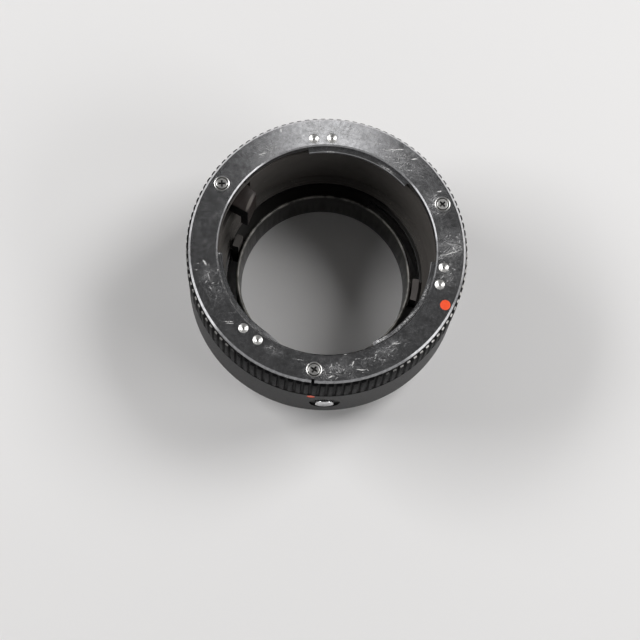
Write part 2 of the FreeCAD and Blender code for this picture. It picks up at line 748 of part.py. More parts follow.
screws = []
for index, angle in enumerate(rear_screws):
    screw = cross_screw(f"rear_mount_screw_{index}", "rear_screw_head", "rear_screw_length")
    stand_at(screw, *polar("rear_screw_circle", angle), "camera_seat", axis=(1, 0, 0), angle="180")
    screws.append(screw)
rear_mount_screws = group("rear_mount_screws", screws)


def coupling_ring(name):
    # A flat ring guided in the housing's bore, an upright arm in the gap round the sleeve, and a lever beside
    # the baffle that shows from both ends.
    foot = f"{name}_ring_foot"
    top = f"{name}_ring_top"
    body = turned(f"{name}_ring", arc_corners("ring_inner", "ring_outer", foot, top))
    lever = (f"{name}_lever_start", f"{name}_lever_span")
    add_arc(body, f"{name}_lever_root", "lever_inner", "(ring_inner + ring_outer) / 2", foot, top, *lever)
    add_arc(body, f"{name}_lever", "lever_inner", "lever_outer", "lever_clear",
            f"{name}_lever_top", *lever)
    return body


# The arm of the lower ring passes the rim of the upper one, which is cut back over their joint travel.
diaphragm_ring = coupling_ring("diaphragm")
cut_arc(diaphragm_ring, "arm_relief", "arm_inner - arm_play", "ring_bore", "diaphragm_ring_foot",
        "diaphragm_ring_top", "aperture_finger_start - diaphragm_travel - slot_margin",
        "aperture_finger_span + diaphragm_travel + aperture_travel + 2 * slot_margin")
add_arc(diaphragm_ring, "diaphragm_arm", "arm_inner", "arm_outer",
        "(diaphragm_ring_foot + diaphragm_ring_top) / 2", "diaphragm_finger_top",
        "diaphragm_finger_start", "diaphragm_finger_span")
aperture_ring = coupling_ring("aperture")
add_arc(aperture_ring, "aperture_arm", "arm_inner", "arm_outer",
        "(aperture_ring_foot + aperture_ring_top) / 2", "aperture_finger_top",
        "aperture_finger_start", "aperture_finger_span")


def coupling_finger(name):
    # The block on the arm that reaches through the sleeve's window into the light path.
    body = new_body(f"{name}_finger")
    add_arc(body, f"{name}_block", f"{name}_finger_radius", "arm_inner", f"{name}_finger_foot",
            f"{name}_finger_top", f"{name}_finger_start", f"{name}_finger_span")
    return body


diaphragm_finger = coupling_finger("diaphragm")
add_arc(diaphragm_finger, "diaphragm_hook", "diaphragm_finger_radius", "diaphragm_finger_radius + hook_depth",
        "hook_foot", "(diaphragm_finger_foot + diaphragm_finger_top) / 2",
        "diaphragm_finger_start", "diaphragm_finger_span")
# Its inner face is straight and stands askew to the light path.
slant = new_sketch(diaphragm_finger, "slant_outline", "XY_Plane", away="diaphragm_finger_top")
draw_outline(slant, [
    polar("diaphragm_finger_radius", "diaphragm_finger_start + diaphragm_finger_span"),
    polar("diaphragm_finger_radius + diaphragm_finger_slant", "diaphragm_finger_start"),
    polar("diaphragm_finger_radius", "diaphragm_finger_start - slot_margin"),
])
raise_or_cut(diaphragm_finger, "slant", slant, "Pocket", "diaphragm_finger_top - hook_foot")
aperture_finger = coupling_finger("aperture")

# Release button: a round cap on a square stem whose inner end is a ramp.
release_button = new_body("release_button")
cap = new_sketch(release_button, "cap_circle", "XZ_Plane", turn="button_angle + 90", away="cap_inner")
draw_circle(cap, "0", "button_axis", "button_radius")
raise_or_cut(release_button, "cap", cap, "Pad", "button_face - cap_inner")
stem = new_sketch(release_button, "stem_outline", "YZ_Plane", away="-stem_half_width")
draw_outline(stem, [
    ("-cap_inner", "stem_foot"),
    ("-stem_end", "stem_foot"),
    ("-stem_end", "stem_top - ramp_run"),
    ("-ramp_outer", "stem_top"),
    ("-cap_inner", "stem_top"),
])
raise_or_cut(release_button, "stem", stem, "Pad", "2 * stem_half_width")

# Lock pin: a thin pin on a foot, with an upright that hooks over the button's ramp and rises with it.
lock_pin = new_body("lock_pin")
level_block(lock_pin, "foot", "Pad", "foot_left", "upright_right", "-foot_outer", "-bar_inner", "foot_low",
            "foot_high")
level_rounds(lock_pin, "pin", "Pad", [("lock_x", "lock_y")], "lock_pin_radius", "camera_seat - lock_reach",
             "(foot_low + foot_high) / 2")
level_block(lock_pin, "upright", "Pad", "upright_left", "upright_right", "-bar_outer", "-bar_inner",
            "foot_low", "bar_top")
hook = new_sketch(lock_pin, "hook_outline", "YZ_Plane", away="upright_left")
draw_outline(hook, [
    ("-bar_outer", "stem_top - (ramp_outer - bar_outer) + ramp_gap"),
    ("-bar_inner", "stem_top - (ramp_outer - bar_inner) + ramp_gap"),
    ("-bar_inner", "bar_top"),
    ("-bar_outer", "bar_top"),
])
raise_or_cut(lock_pin, "hook", hook, "Pad", "stem_half_width - upright_left")

# Lock spring: a coil that presses the lock pin down.
lock_spring = new_body("lock_spring")
wire = new_sketch(lock_spring, "wire_outline", "XZ_Plane")
draw_outline(wire, arc_corners("spring_coil - spring_wire / 2", "spring_coil + spring_wire / 2",
                               "0", "spring_wire"))
coil = lock_spring.newObject("PartDesign::AdditiveHelix", "coil")
coil.Profile = wire
coil.ReferenceAxis = (wire, ["V_Axis"])
coil.Mode = "pitch-height-angle"
bind(coil, "Pitch", "spring_pitch")
bind(coil, "Height", "spring_room - spring_wire - 2 * fit_gap")
stand_at(lock_spring, "spring_x", "spring_y", "bar_top + fit_gap")

nodes = [
    lens_flange, flange_screws, spring_rivets, index_dot, *leaf_springs,
    front_housing, rear_housing, rear_index_dot, inner_sleeve, sleeve_lock_ring,
    rear_baffle, rear_bayonet, rear_mount_screws,
    diaphragm_ring, diaphragm_finger, aperture_ring, aperture_finger,
    release_button, lock_pin, lock_spring,
]

doc.recompute()
for thing in doc.Objects:
    if "Invalid" in thing.State or "Error" in thing.State:
        raise RuntimeError(f"{thing.Label} failed: {thing.State}")
for node in nodes:
    if node.Shape.isNull() or not node.Shape.isValid():
        raise RuntimeError(f"{node.Label} has no valid shape")

os.makedirs("parts", exist_ok=True)
for node in nodes:
    node.Shape.exportStep(os.path.join("parts", f"{node.Label}.step"))
    print(node.Label, len(node.Shape.Solids), round(node.Shape.Volume, 2))
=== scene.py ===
import bpy
import math
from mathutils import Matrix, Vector


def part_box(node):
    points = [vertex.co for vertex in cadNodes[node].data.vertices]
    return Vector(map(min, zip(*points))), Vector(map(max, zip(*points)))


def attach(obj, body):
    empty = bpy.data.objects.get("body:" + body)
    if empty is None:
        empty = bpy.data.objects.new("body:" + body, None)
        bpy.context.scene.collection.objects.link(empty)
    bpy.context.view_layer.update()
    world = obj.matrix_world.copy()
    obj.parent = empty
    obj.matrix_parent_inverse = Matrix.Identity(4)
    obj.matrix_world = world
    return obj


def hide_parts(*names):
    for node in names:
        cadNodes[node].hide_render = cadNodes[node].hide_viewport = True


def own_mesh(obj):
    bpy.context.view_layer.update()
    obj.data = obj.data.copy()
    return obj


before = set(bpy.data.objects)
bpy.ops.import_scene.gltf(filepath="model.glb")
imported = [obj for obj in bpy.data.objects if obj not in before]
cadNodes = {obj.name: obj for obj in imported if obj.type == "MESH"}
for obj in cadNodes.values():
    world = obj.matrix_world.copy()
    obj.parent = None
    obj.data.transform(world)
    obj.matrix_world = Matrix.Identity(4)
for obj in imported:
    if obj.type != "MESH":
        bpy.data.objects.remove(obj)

mm = 0.001
scene = bpy.context.scene
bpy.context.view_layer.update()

# places read from the frame, in millimetres
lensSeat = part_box("lens_flange")[1].z / mm
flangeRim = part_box("lens_flange")[1].x / mm
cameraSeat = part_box("rear_mount_screws")[0].z / mm
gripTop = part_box("front_housing")[1].z / mm
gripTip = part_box("front_housing")[1].x / mm
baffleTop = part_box("rear_baffle")[1].z / mm
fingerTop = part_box("diaphragm_finger")[1].z / mm
print("frame loaded:", len(cadNodes), "nodes")


# Node helpers: sockets are linked, plain values are set on the node itself

def addNode(material, kind, inputs, **settings):
    made = material.node_tree.nodes.new("ShaderNode" + kind)
    for key, value in settings.items():
        setattr(made, key, value)
    for key, value in inputs.items():
        if isinstance(value, bpy.types.NodeSocket):
            material.node_tree.links.new(value, made.inputs[key])
        else:
            made.inputs[key].default_value = value
    return made


def newMaterial(name, colour, roughness, metallic=0.0, specular=0.5):
    material = bpy.data.materials.new(name)
    material.use_nodes = True
    shader = material.node_tree.nodes["Principled BSDF"]
    shader.inputs["Base Color"].default_value = (*colour, 1)
    shader.inputs["Roughness"].default_value = roughness
    shader.inputs["Metallic"].default_value = metallic
    shader.inputs["Specular IOR Level"].default_value = specular
    return material


def feed(material, socketName, socket):
    shader = material.node_tree.nodes["Principled BSDF"]
    material.node_tree.links.new(socket, shader.inputs[socketName])


def inMillimetres(material):
    coords = addNode(material, "TexCoord", {})
    scaled = addNode(material, "VectorMath", {0: coords.outputs["Object"], "Scale": 1 / mm},
                     operation="SCALE")
    return scaled.outputs[0]


def facing(material):
    coords = addNode(material, "TexCoord", {})
    return addNode(material, "SeparateXYZ", {0: coords.outputs["Normal"]}).outputs


shiftWay = (1.0, 0.7, 0.3)


def streaked(material, vector, turn, size, shift=0.0):
    # turns the pattern first, then stretches it to a streak of this size
    mapping = addNode(material, "Mapping", {
        "Vector": vector,
        "Location": [shift * part for part in shiftWay],
        "Rotation": (0, 0, math.radians(turn)),
        "Scale": size,
    }, vector_type="TEXTURE")
    return mapping.outputs["Vector"]


def ramp(material, value, low, high, start=0.0, end=1.0):
    made = addNode(material, "MapRange", {
        "Value": value, "From Min": low, "From Max": high, "To Min": start, "To Max": end,
    })
    return made.outputs["Result"]


def between(material, mask, start, end):
    return ramp(material, mask, 0, 1, start, end)


def noiseMask(material, vector, scale, low, high, detail=3.0):
    # a noise in the settings is its scale, the two levels it is stretched between, and its detail
    noise = addNode(material, "TexNoise", {"Vector": vector, "Scale": scale, "Detail": detail})
    return ramp(material, noise.outputs["Fac"], low, high)


def combine(material, operation, *values):
    result = values[0]
    for value in values[1:]:
        result = addNode(material, "Math", {0: result, 1: value}, operation=operation).outputs[0]
    return result


def shades(colour, shares):
    return [tuple(share * part for part in colour) for share in shares]


def mixColours(material, factor, first, second):
    made = addNode(material, "Mix", {0: factor}, data_type="RGBA")
    for index, colour in ((6, first), (7, second)):
        if isinstance(colour, bpy.types.NodeSocket):
            material.node_tree.links.new(colour, made.inputs[index])
        else:
            made.inputs[index].default_value = (*colour, 1)
    return made.outputs[2]


def fromAxis(material, vector):
    # distance from the tube's axis
    parts = addNode(material, "SeparateXYZ", {0: vector})
    flat = addNode(material, "CombineXYZ", {0: parts.outputs[0], 1: parts.outputs[1]})
    return addNode(material, "VectorMath", {0: flat.outputs[0]}, operation="LENGTH").outputs["Value"]


def aboutAxis(material, vector):
    # angle about the tube's axis, in radians
    parts = addNode(material, "SeparateXYZ", {0: vector})
    return combine(material, "ARCTAN2", parts.outputs[1], parts.outputs[0])


def heightAt(material, vector):
    return addNode(material, "SeparateXYZ", {0: vector}).outputs[2]


def nearAngle(material, angle, centre, spread):
    # whole within half the spread, gone at the spread, both in degrees
    offset = combine(material, "SUBTRACT", angle, math.radians(centre))
    away = addNode(material, "Math", {0: offset}, operation="ABSOLUTE").outputs[0]
    return ramp(material, away, math.radians(0.5 * spread), math.radians(spread), 1.0, 0.0)


def addBump(material, height, strength, distance):
    bump = addNode(material, "Bump", {"Height": height, "Strength": strength, "Distance": distance * mm})
    feed(material, "Normal", bump.outputs["Normal"])


def markMask(material, place, mark, height, core):
    # one oval mark: angle about the axis, radius, lean from the tangent outwards, length and width;
    # it is whole within the core and fades from there to its edge
    angle, radius, lean, length, width = mark
    turn = math.radians(angle)
    mapping = addNode(material, "Mapping", {
        "Vector": place,
        "Location": (radius * math.cos(turn), radius * math.sin(turn), height),
        "Rotation": (0, 0, math.radians(angle + 90 - lean)),
        "Scale": (length / 2, width / 2, 1.0),
    }, vector_type="TEXTURE")
    ball = addNode(material, "TexGradient", {"Vector": mapping.outputs[0]}, gradient_type="SPHERICAL")
    return ramp(material, ball.outputs["Fac"], 0.0, 1.0 - core)


def allMarks(material, place, marks, height, core):
    # each mark is joined before the next is made, because Cycles can hold few values at a time
    result = markMask(material, place, marks[0], height, core)
    for mark in marks[1:]:
        result = combine(material, "MAXIMUM", result, markMask(material, place, mark, height, core))
    return result


# Bright mount: polished plate with hairlines, deep gouges, light scuffs and places rubbed dull, and painted
# shade on its outer wall

mountFinish = {
    "colour": (0.60, 0.60, 0.615),
    "shades": (0.84, 1.2),
    "mottle": (1.3, 0.32, 0.68, 6.0),
    "bare": (0.88, 0.87, 0.85),
    "bareMetallic": 0.45,
    "bareDull": 0.3,
    "roughness": (0.10, 0.15),
    "smudge": (0.45, 0.3, 0.7, 5.0),
    "rubbedDull": (0.03, 0.11),
    "wander": {"scale": 0.9, "detail": 2.0, "reach": 0.5},
    "hairlineTurns": (12, 47, 78, 111, 146, 168),
    "hairlines": {"size": (6.0, 0.09, 60.0), "shift": 9, "noise": (1.0, 0.61, 0.69, 1)},
    "patches": {"size": (4, 4, 4), "shift": 13, "noise": (1.0, 0.40, 0.62)},
    "flecks": {"turn": 35, "size": (1.0, 0.5, 1.0), "noise": (1.4, 0.66, 0.71, 1.0)},
    "strength": {"scuffs": 0.8, "boreEdge": 0.38, "hairlines": 0.55, "flecks": 0.7},
    "core": {"gouges": 0.5, "scuffs": 0.2, "areas": 0.1},
    "gougeBreaks": (3.4, 0.26, 0.5),
    "scuffGrit": (2.6, 0.34, 0.62),
    "unscratchedShare": 0.16,
    "gouges": (
        (57.6, 27.9, -36, 5.8, 0.22), (55.4, 28.7, -34, 2.4, 0.38), (47.5, 29.0, -50, 1.8, 0.30),
        (28.6, 28.7, -72, 1.3, 0.32), (110.7, 29.7, -80, 1.3, 0.50), (187.6, 27.4, -28, 1.9, 0.60),
        (218.5, 27.6, -47, 2.6, 0.24), (219.3, 27.75, -47, 2.2, 0.18), (123.3, 26.6, 15, 2.2, 0.24),
        (271.5, 29.45, -22, 1.8, 0.32), (284.7, 28.7, 17, 2.8, 0.24), (304.6, 26.5, 28, 2.2, 0.28),
        (358.2, 27.3, 72, 5.8, 0.20), (279.3, 24.7, 0, 1.0, 0.35), (281.9, 27.0, -58, 1.5, 0.34),
    ),
    "scuffs": (
        (60.3, 27.3, -32, 3.2, 0.30), (48.9, 29.9, -35, 1.0, 0.30), (43.5, 25.3, -25, 2.4, 0.26),
        (49.2, 25.3, -30, 2.2, 0.26), (57.3, 25.9, -22, 1.8, 0.24), (70.5, 29.1, 45, 1.4, 0.22),
        (124.2, 26.3, 30, 2.0, 0.20), (187.5, 28.9, -80, 1.8, 0.26), (190.5, 29.4, -75, 1.4, 0.24),
        (194.4, 27.1, 0, 2.8, 0.45), (205.2, 27.0, 5, 1.2, 0.34), (214.8, 26.5, -60, 4.2, 0.18),
        (241.3, 26.3, -27, 4.5, 0.20), (241.0, 26.0, -26, 3.0, 0.18), (256.5, 26.4, -3, 4.0, 0.20),
        (259.3, 27.1, 15, 1.5, 0.22), (269.0, 29.6, 40, 1.4, 0.22), (274.2, 28.5, 8, 1.1, 0.26),
        (287.4, 29.2, 60, 1.4, 0.24), (284.4, 26.2, 5, 1.9, 0.26), (294.6, 26.1, 2, 1.9, 0.30),
        (304.5, 26.2, 12, 2.0, 0.26), (356.4, 25.8, 74, 3.2, 0.24), (359.4, 28.8, 70, 3.2, 0.22),
        (355.2, 25.5, 76, 2.2, 0.22), (340.0, 29.2, -80, 2.2, 0.16), (45.0, 26.4, -40, 2.6, 0.22),
        (52.5, 25.9, -38, 2.2, 0.22), (54.5, 26.8, -35, 2.4, 0.20), (62.5, 26.6, -32, 2.8, 0.22),
        (64.8, 27.6, -35, 2.0, 0.20), (67.5, 28.8, -50, 2.2, 0.20), (70.8, 28.4, 0, 0.9, 0.50),
        (58.8, 25.7, -30, 2.0, 0.22), (39.0, 27.5, -35, 1.8, 0.18), (61.0, 29.3, -40, 1.6, 0.18),
        (75.0, 27.0, -40, 2.4, 0.20), (78.0, 28.6, -45, 2.0, 0.20), (272.0, 27.2, 80, 2.4, 0.30),
        (275.4, 28.4, 30, 0.8, 0.35), (285.5, 29.4, 15, 1.6, 0.25), (291.0, 26.9, 10, 1.8, 0.35),
        (294.3, 27.8, 35, 0.9, 0.30), (296.2, 28.4, 20, 0.9, 0.28), (300.0, 26.3, 25, 1.6, 0.30),
        (288.0, 26.6, -10, 1.4, 0.25), (200.5, 27.5, -10, 2.0, 0.25), (192.6, 24.8, 0, 0.9, 0.40),
        (117.5, 27.2, 20, 2.0, 0.20),
    ),
    "rubbed": (
        (2.0, 27.4, 0, 11, 9), (20.0, 25.4, 0, 9, 4), (272.0, 28.0, 0, 14, 8),
        (195.0, 27.2, 0, 9, 4), (300.0, 26.4, 0, 9, 4), (120.0, 26.6, 0, 7, 4), (26.0, 27.4, 0, 4, 3),
    ),
    "scratched": (
        (54.0, 27.2, 0, 18, 9), (1.0, 27.4, 0, 12, 9), (348.0, 27.6, 0, 9, 8), (272.0, 28.0, 0, 16, 8),
        (296.0, 26.6, 0, 15, 6), (198.0, 27.0, 0, 12, 6), (119.0, 26.6, 0, 11, 7), (24.0, 26.5, 0, 10, 6),
        (90.0, 27.8, 0, 22, 9), (243.0, 26.4, 0, 7, 3),
    ),
    "lugDepth": 1.25,
    "lugWear": (
        (300.6, 23.75, 2, 4.6, 1.0), (319.0, 23.75, 3, 13, 0.9), (336.0, 23.8, 0, 8, 0.8),
        # the mark at 182.5° on the left lug's lead-in stands in for its highlight: wear and a painted
        # highlight
        (182.5, 24.1, 80, 1.6, 0.5), (88.0, 23.4, 0, 4, 0.5), (55.0, 23.7, 0, 6, 0.9),
    ),
    "boreEdge": {
        "radius": 24.75, "fadeOut": 0.1, "depth": 0.3, "fadeDown": 0.06,
        "side": (-150, 55), "least": 0.25, "breaks": (1.6, 0.28, 0.72),
    },
    # the outer wall below the rim bevel: painted shade, near black and dulled, where the ridges meet the
    # flange
    "wall": {
        "paintedShade": (0.012, 0.011, 0.010), "dull": 0.4, "inside": (0.2, 0.1), "below": (0.51, 0.47),
    },
}


def wandering(material, place, look):
    # the place moved about by noise, whose middle is a half, so that straight marks waver
    wobble = addNode(material, "TexNoise", {
        "Vector": place, "Scale": look["scale"], "Detail": look["detail"],
    })
    middle = addNode(material, "VectorMath", {0: wobble.outputs["Color"], 1: (0.5, 0.5, 0.5)},
                     operation="SUBTRACT")
    moved = addNode(material, "VectorMath", {0: middle.outputs[0], 1: [look["reach"]] * 3, 2: place},
                    operation="MULTIPLY_ADD")
    return moved.outputs[0]


def hairlineMask(material, place, shifted, look):
    # fine lines in several directions, each in its own patches
    lines, patches = look["hairlines"], look["patches"]
    layers = []
    for index, turn in enumerate(look["hairlineTurns"]):
        line = streaked(material, shifted, turn, lines["size"], lines["shift"] * index)
        patch = streaked(material, place, turn, patches["size"], patches["shift"] * index)
        layers.append(combine(material, "MULTIPLY", noiseMask(material, line, *lines["noise"]),
                              noiseMask(material, patch, *patches["noise"])))
    return combine(material, "MAXIMUM", *layers)


def boreEdgeMask(material, place, look):
    # broken wear where the bore meets the face, strongest on one side
    radius, foot = look["radius"], lensSeat - look["depth"]
    inner = ramp(material, fromAxis(material, place), radius, radius + look["fadeOut"], 1.0, 0.0)
    upper = ramp(material, heightAt(material, place), foot - look["fadeDown"], foot)
    side = nearAngle(material, aboutAxis(material, place), *look["side"])
    return combine(material, "MULTIPLY", inner, upper, between(material, side, look["least"], 1.0),
                   noiseMask(material, place, *look["breaks"]))


def wallMask(material, place, look):
    # the flange's outer wall, from just below its rim bevel, where painted shade darkens the valleys by the
    # ridges
    inside = [flangeRim - depth for depth in look["inside"]]
    below = [lensSeat - depth for depth in look["below"]]
    return combine(material, "MULTIPLY", ramp(material, fromAxis(material, place), *inside),
                   ramp(material, heightAt(material, place), *below, 1.0, 0.0))


def brightMount():
    look = mountFinish
    strength, core = look["strength"], look["core"]
    material = newMaterial("brightMount", look["colour"], look["roughness"][0], 1.0)
    place = inMillimetres(material)
    shifted = wandering(material, place, look["wander"])
    gouges = allMarks(material, shifted, look["gouges"], lensSeat, core["gouges"])
    gouges = combine(material, "MULTIPLY", gouges, noiseMask(material, place, *look["gougeBreaks"]))
    scuffs = allMarks(material, shifted, look["scuffs"], lensSeat, core["scuffs"])
    rubbed = allMarks(material, place, look["rubbed"], lensSeat, core["areas"])
    lugWear = allMarks(material, shifted, look["lugWear"], lensSeat - look["lugDepth"], core["scuffs"])
    scuffs = combine(material, "MULTIPLY", combine(material, "MAXIMUM", scuffs, lugWear),
                     noiseMask(material, place, *look["scuffGrit"]))
    scratched = allMarks(material, place, look["scratched"], lensSeat, core["areas"])
    weight = between(material, scratched, look["unscratchedShare"], 1.0)
    flakes = streaked(material, place, look["flecks"]["turn"], look["flecks"]["size"])
    flecks = combine(material, "MULTIPLY", noiseMask(material, flakes, *look["flecks"]["noise"]), weight)
    hairlines = combine(material, "MULTIPLY", hairlineMask(material, place, shifted, look), weight)
    edge = boreEdgeMask(material, place, look["boreEdge"])
    marks = combine(
        material, "MAXIMUM", gouges,
        combine(material, "MULTIPLY", scuffs, strength["scuffs"]),
        combine(material, "MULTIPLY", edge, strength["boreEdge"]),
        combine(material, "MULTIPLY", hairlines, strength["hairlines"]),
        combine(material, "MULTIPLY", flecks, strength["flecks"]),
    )
    wall = wallMask(material, place, look["wall"])
    smudge = noiseMask(material, place, *look["smudge"])
    mottle = noiseMask(material, place, *look["mottle"])
    tone = mixColours(material, mottle, *shades(look["colour"], look["shades"]))
    tone = mixColours(material, marks, tone, look["bare"])
    # the outer wall is mixed to the painted shade colour
    feed(material, "Base Color", mixColours(material, wall, tone, look["wall"]["paintedShade"]))
    metal = between(material, marks, 1.0, look["bareMetallic"])
    feed(material, "Metallic", combine(material, "MULTIPLY", metal, between(material, wall, 1.0, 0.0)))
    haze = combine(material, "MULTIPLY", rubbed, between(material, smudge, *look["rubbedDull"]))
    feed(material, "Roughness", combine(
        material, "ADD", haze, between(material, smudge, *look["roughness"]),
        between(material, wall, 0.0, look["wall"]["dull"]), between(material, marks, 0.0, look["bareDull"]),
    ))
    return material


# Rear mount: the same plate, unworn, with fine rings from the lathe

rearMountFinish = {
    "colour": mountFinish["colour"],
    "shades": (0.95, 1.06),
    "roughness": (0.14, 0.22),
    "rings": (5.0, 0.3, 0.7),
    "smudge": (0.3, 0.3, 0.7, 4.0),
    "smudgeDull": 0.06,
}


def plainMount():
    look = rearMountFinish
    material = newMaterial("plainMount", look["colour"], look["roughness"][0], 1.0)
    place = inMillimetres(material)
    rings = addNode(material, "CombineXYZ", {0: fromAxis(material, place), 2: heightAt(material, place)})
    turning = noiseMask(material, rings.outputs[0], *look["rings"])
    smudge = noiseMask(material, place, *look["smudge"])
    feed(material, "Base Color", mixColours(material, smudge, *shades(look["colour"], look["shades"])))
    feed(material, "Roughness", combine(material, "ADD", between(material, turning, *look["roughness"]),
                                        between(material, smudge, 0.0, look["smudgeDull"])))
    return material


# Fastener steel: nickelled, with painted shade in the hollows below the head's face

fastenerFinish = {
    "colour": (0.74, 0.73, 0.71),
    "roughness": (0.28, 0.38),
    "spots": (2.4, 0.35, 0.7),
    # colour of the painted shade in the hollows
    "paintedShade": (0.035, 0.032, 0.03),
    "shadeDepths": (0.06, 0.2),
    "shadeShare": (0.75, 1.0),
}


def fastenerSteel(name, faceHeight, inward):
    look = fastenerFinish
    material = newMaterial(name, look["colour"], look["roughness"][0], 1.0)
    place = inMillimetres(material)
    above = combine(material, "SUBTRACT", heightAt(material, place), faceHeight)
    hollow = ramp(material, combine(material, "MULTIPLY", above, inward), *look["shadeDepths"])
    spots = noiseMask(material, place, *look["spots"])
    # painted shade in the groove and cross recess below the face, broken by spots
    paintedShade = combine(material, "MULTIPLY", hollow, between(material, spots, *look["shadeShare"]))
    feed(material, "Base Color", mixColours(material, paintedShade, look["colour"], look["paintedShade"]))
    feed(material, "Roughness", between(material, spots, *look["roughness"]))
    return material


# Rivet steel: bright, with painted shade in its pit

rivetFinish = {
    "colour": (0.84, 0.83, 0.81),
    "roughness": (0.34, 0.44),
    "spots": (1.8, 0.4, 0.7),
    # the pit's dark colour is painted shade
    "pit": (0.10, 0.09, 0.08),
    "pitShadeDepths": (0.54, 0.46),
    "pitShadeShare": 0.8,
}


def rivetSteel():
    look = rivetFinish
    material = newMaterial("rivetSteel", look["colour"], look["roughness"][0], 1.0)
    place = inMillimetres(material)
    spots = noiseMask(material, place, *look["spots"])
    feed(material, "Roughness", between(material, spots, *look["roughness"]))
    # painted shade fills the pit, by height below the seat
    pitHeights = [lensSeat - depth for depth in look["pitShadeDepths"]]
    pit = ramp(material, heightAt(material, place), *pitHeights, look["pitShadeShare"], 0.0)
    feed(material, "Base Color", mixColours(material, pit, look["colour"], look["pit"]))
    return material


# Index paint: mottled red; a bump is its strength and its height in millimetres

redFinish = {
    "colour": (0.95, 0.105, 0.028),
    "dark": (0.88, 0.075, 0.02),
    "roughness": 0.38,
    "mottle": (1.3, 0.35, 0.7),
    "bump": (0.2, 0.02),
}


def indexRed():
    look = redFinish
    material = newMaterial("indexRed", look["colour"], look["roughness"])
    mottle = noiseMask(material, inMillimetres(material), *look["mottle"])
    feed(material, "Base Color", mixColours(material, mottle, look["colour"], look["dark"]))
    addBump(material, mottle, *look["bump"])
    return material


# Grained metals: leaf and coil springs, the release button and the lock pin

springFinish = {
    "colour": (0.42, 0.41, 0.40), "roughness": (0.24, 0.4),
    "grain": (2.0, 0.35, 0.7), "grainSize": (1, 1, 0.2),
}
buttonFinish = {
    "colour": (0.66, 0.66, 0.67), "roughness": (0.18, 0.34),
    "grain": (1.5, 0.3, 0.7), "grainSize": (0.2, 1, 1.6),
}
pinFinish = {
    "colour": (0.58, 0.57, 0.56), "roughness": (0.2, 0.36),
    "grain": (3.0, 0.35, 0.7), "grainSize": (1, 1, 1),
}


def grainedMetal(name, look):
    material = newMaterial(name, look["colour"], look["roughness"][0], 1.0)
    drawn = streaked(material, inMillimetres(material), 0, look["grainSize"])
    grain = noiseMask(material, drawn, *look["grain"])
    feed(material, "Roughness", between(material, grain, *look["roughness"]))
    return material


# Black grip: anodised ridges whose upper ends are rubbed bright, kept to the sides where light catches them,
# so wear and a painted highlight

gripFinish = {
    "colour": (0.005, 0.005, 0.0055),
    "bare": (0.62, 0.61, 0.59),
    "roughness": (0.46, 0.60),
    "specular": 0.05,
    "dust": (3.0, 0.4, 0.7),
    "ridges": 108,
    "endDepths": (0.55, 0.3),
    "tipDepths": (0.38, 0.22),
    "acrossRidge": (0.24, 0.32),
    "rub": (0.9, 0.3, 0.5),
    # sides where the rubbed ends show, chosen where light catches them: partly a painted highlight
    "litWearSides": ((-155, 30, 0.5), (-30, 40, 1.0)),
}


def blackGrip():
    look = gripFinish
    material = newMaterial("blackGrip", look["colour"], look["roughness"][0], 0.0, look["specular"])
    place = inMillimetres(material)
    angle = aboutAxis(material, place)
    endHeights = [gripTop - depth for depth in look["endDepths"]]
    tipRadii = [gripTip - depth for depth in look["tipDepths"]]
    turns = combine(material, "MULTIPLY", angle, look["ridges"] / math.tau)
    across = combine(material, "PINGPONG", turns, 0.5)  # half a ridge, there and back
    ends = combine(material, "MULTIPLY", ramp(material, heightAt(material, place), *endHeights),
                   ramp(material, fromAxis(material, place), *tipRadii),
                   ramp(material, across, *look["acrossRidge"]))
    # the rubbed ends are limited to the lit sides, wear and a painted highlight
    sides = [combine(material, "MULTIPLY", nearAngle(material, angle, centre, spread), share)
             for centre, spread, share in look["litWearSides"]]
    wearAndHighlight = combine(material, "MULTIPLY", ends, noiseMask(material, place, *look["rub"]),
                   combine(material, "MAXIMUM", *sides))
    feed(material, "Base Color", mixColours(material, wearAndHighlight, look["colour"], look["bare"]))
    feed(material, "Metallic", wearAndHighlight)
    dust = noiseMask(material, place, *look["dust"])
    feed(material, "Roughness", between(material, dust, *look["roughness"]))
    return material


# Black shell: fine satin paint

shellFinish = {
    "colour": (0.008, 0.008, 0.0085),
    "roughness": (0.34, 0.5),
    "specular": 0.18,
    "grain": (7.0, 0.3, 0.7),
    "bump": (0.12, 0.03),
}


def blackShell():
    look = shellFinish
    material = newMaterial("blackShell", look["colour"], look["roughness"][0], 0.0, look["specular"])
    grain = noiseMask(material, inMillimetres(material), *look["grain"])
    feed(material, "Roughness", between(material, grain, *look["roughness"]))
    addBump(material, grain, *look["bump"])
    return material


# Inner sleeve: dull warm black paint with a little dust and faint turning lines

sleeveFinish = {
    "colour": (0.092, 0.084, 0.077),
    "shades": (1.0, 0.8),
    "cloud": (0.12, 0.35, 0.7),
    "dust": (0.16, 0.15, 0.13),
    "specks": (1.7, 0.73, 0.77, 1.0),
    "roughness": (0.47, 0.60),
    "turning": (4.0, 0.3, 0.7),
    "bump": (0.1, 0.02),
}


def sleeveBlack():
    look = sleeveFinish
    material = newMaterial("sleeveBlack", look["colour"], look["roughness"][0])
    place = inMillimetres(material)
    specks = noiseMask(material, place, *look["specks"])
    cloud = noiseMask(material, place, *look["cloud"])
    tone = mixColours(material, cloud, *shades(look["colour"], look["shades"]))
    feed(material, "Base Color", mixColours(material, specks, tone, look["dust"]))
    lines = addNode(material, "CombineXYZ", {2: heightAt(material, place)})
    addBump(material, noiseMask(material, lines.outputs[0], *look["turning"]), *look["bump"])
    feed(material, "Roughness", between(material, cloud, *look["roughness"]))
    return material


# Rear baffle: smooth black with a worn rim painted lighter, wear and a painted highlight

